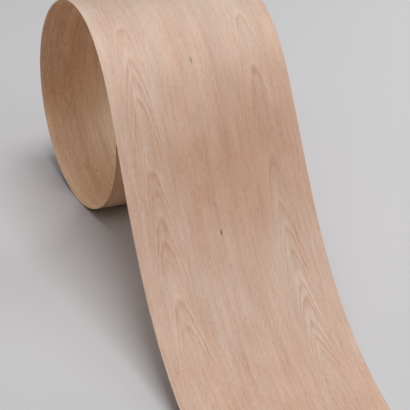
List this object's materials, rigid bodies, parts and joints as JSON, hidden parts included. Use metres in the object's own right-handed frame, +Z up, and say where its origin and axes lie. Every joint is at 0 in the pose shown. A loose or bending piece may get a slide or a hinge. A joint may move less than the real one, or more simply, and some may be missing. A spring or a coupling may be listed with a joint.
{
  "type": "wood veneer sheet",
  "caption": "Long strip of thin hardwood veneer, its far end curled into a loose loop and the rest running out flat.",
  "frame": {"origin": "centre of the whole sheet's floor area, at floor level, so at the bottom centre of its bounding box", "axes": "+Y along the strip, from its flat tail towards the loop; +X across the strip; +Z up from the floor"},
  "size_m": [0.242, 1.0264, 0.256],
  "materials": {
    "veneer": "raw sliced hardwood veneer, sanded, unfinished, matt"
  },
  "bodies": {
    "root": {"veneer_sheet": "veneer"}
  },
  "joints": []
}
